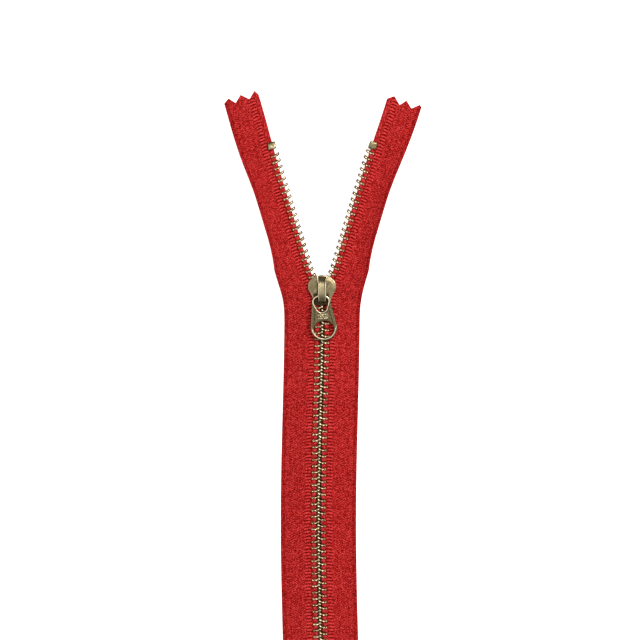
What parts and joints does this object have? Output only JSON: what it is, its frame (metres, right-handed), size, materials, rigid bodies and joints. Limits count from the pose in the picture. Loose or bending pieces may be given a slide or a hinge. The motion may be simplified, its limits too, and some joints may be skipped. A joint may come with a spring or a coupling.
{
  "type": "zipper",
  "caption": "Metal zipper with red woven tape, brass teeth, locking slider with ring pull, top and bottom stops and pinked tape ends, lying a quarter open.",
  "frame": {"origin": "centre of the slider's flat back face, on the chain's centre line", "axes": "+X to the right across the tapes, +Y along the closed chain in the closing direction, +Z out of the front"},
  "size_m": [0.0698, 0.2378, 0.0076],
  "materials": {
    "tape": "woven polyester tape, red",
    "teeth": "antique brass, worn bright on the high spots",
    "slider": "antique brass plating, dark in the recesses",
    "pull": "antique brass plating, rims worn bright",
    "spring": "plain spring steel"
  },
  "bodies": {
    "closed_chain": {"stem_1_tape_left": "tape", "stem_1_teeth_left": "teeth", "stem_1_tape_right": "tape", "stem_1_teeth_right": "teeth"},
    "lower_chain": {"stem_2_tape_left": "tape", "stem_2_teeth_left": "teeth", "stem_2_tape_right": "tape", "stem_2_teeth_right": "teeth"},
    "bottom_chain": {"stem_3_tape_left": "tape", "stem_3_teeth_left": "teeth", "stem_3_tape_right": "tape", "stem_3_teeth_right": "teeth", "bottom_stop": "teeth"},
    "bottom_tails": {"bottom_tail_left": "tape", "bottom_tail_right": "tape"},
    "left_arm": {"left_arm_tape": "tape", "left_arm_teeth": "teeth"},
    "right_arm": {"right_arm_tape": "tape", "right_arm_teeth": "teeth"},
    "left_top": {"left_top_tape": "tape", "left_top_teeth": "teeth", "left_top_stop": "teeth"},
    "right_top": {"right_top_tape": "tape", "right_top_teeth": "teeth", "right_top_stop": "teeth"},
    "left_tail": {"left_tail_tape": "tape"},
    "right_tail": {"right_tail_tape": "tape"},
    "slider": {"slider_body": "slider", "crown": "slider"},
    "lock": {"lock_spring": "spring"},
    "pull": {"pull_tab": "pull"}
  },
  "joints": [
    {"name": "slider_travel", "type": "slide", "parent": "closed_chain", "child": "slider", "axis": [0, 1, 0], "range_m": [0, 0.04725], "deforming": ["left_arm_teeth", "left_top_teeth", "right_arm_teeth", "right_top_teeth"]},
    {"name": "arm_swing_left", "type": "hinge", "parent": "closed_chain", "child": "left_arm", "pos_m": [-0.00125, -0.005, 0.0025], "axis": [0, 0, 1], "range_deg": [-16.8, 0]},
    {"name": "arm_swing_right", "type": "hinge", "parent": "closed_chain", "child": "right_arm", "pos_m": [0.00125, -0.00387, 0.0025], "axis": [0, 0, 1], "range_deg": [0, 16.8]},
    {"name": "top_swing_left", "type": "hinge", "parent": "left_arm", "child": "left_top", "pos_m": [-0.01491, 0.04023, 0.0025], "axis": [0, 0, 1], "range_deg": [0, 16.8]},
    {"name": "top_swing_right", "type": "hinge", "parent": "right_arm", "child": "right_top", "pos_m": [0.01491, 0.04136, 0.0025], "axis": [0, 0, 1], "range_deg": [-16.8, 0]},
    {"name": "tail_fold_left", "type": "hinge", "parent": "left_top", "child": "left_tail", "pos_m": [-0.02047, 0.05866, 0.0025], "axis": [0.9573, 0.289, 0], "range_deg": [0, 90]},
    {"name": "tail_fold_right", "type": "hinge", "parent": "right_top", "child": "right_tail", "pos_m": [0.02014, 0.05871, 0.0025], "axis": [0.9573, -0.289, 0], "range_deg": [0, 90]},
    {"name": "stem_bend_upper", "type": "hinge", "parent": "closed_chain", "child": "lower_chain", "pos_m": [0, -0.05169, 0.0025], "axis": [-1, 0, 0], "range_deg": [0, 30], "deforming": ["stem_1_teeth_left", "stem_1_teeth_right", "stem_2_teeth_left", "stem_2_teeth_right", "stem_3_teeth_left", "stem_3_teeth_right"]},
    {"name": "stem_bend_lower", "type": "hinge", "parent": "lower_chain", "child": "bottom_chain", "pos_m": [0, -0.09894, 0.0025], "axis": [-1, 0, 0], "range_deg": [0, 30], "deforming": ["stem_1_teeth_left", "stem_1_teeth_right", "stem_2_teeth_left", "stem_2_teeth_right", "stem_3_teeth_left", "stem_3_teeth_right"]},
    {"name": "bottom_fold", "type": "hinge", "parent": "bottom_chain", "child": "bottom_tails", "pos_m": [0, -0.1505, 0.0025], "axis": [-1, 0, 0], "range_deg": [0, 90]},
    {"name": "pull_swing", "type": "hinge", "parent": "slider", "child": "pull", "pos_m": [-0.0006, -0.00205, 0.0062], "axis": [-0.9942, -0.108, 0], "range_deg": [0, 150]},
    {"name": "lock_lift", "type": "hinge", "parent": "slider", "child": "lock", "pos_m": [0.00055, 0.0024, 0.00575], "axis": [-1, 0, 0], "range_deg": [0, 6]}
  ],
  "couplings": [
    {"joint": "arm_swing_left", "follows": "slider_travel", "rad_per_m": -6.2056},
    {"joint": "arm_swing_right", "follows": "slider_travel", "rad_per_m": 6.2056},
    {"joint": "top_swing_left", "follows": "slider_travel", "rad_per_m": 6.2056},
    {"joint": "top_swing_right", "follows": "slider_travel", "rad_per_m": -6.2056},
    {"joint": "stem_bend_lower", "follows": "stem_bend_upper", "ratio": 1},
    {"joint": "lock_lift", "follows": "pull_swing", "ratio": 0.04}
  ]
}
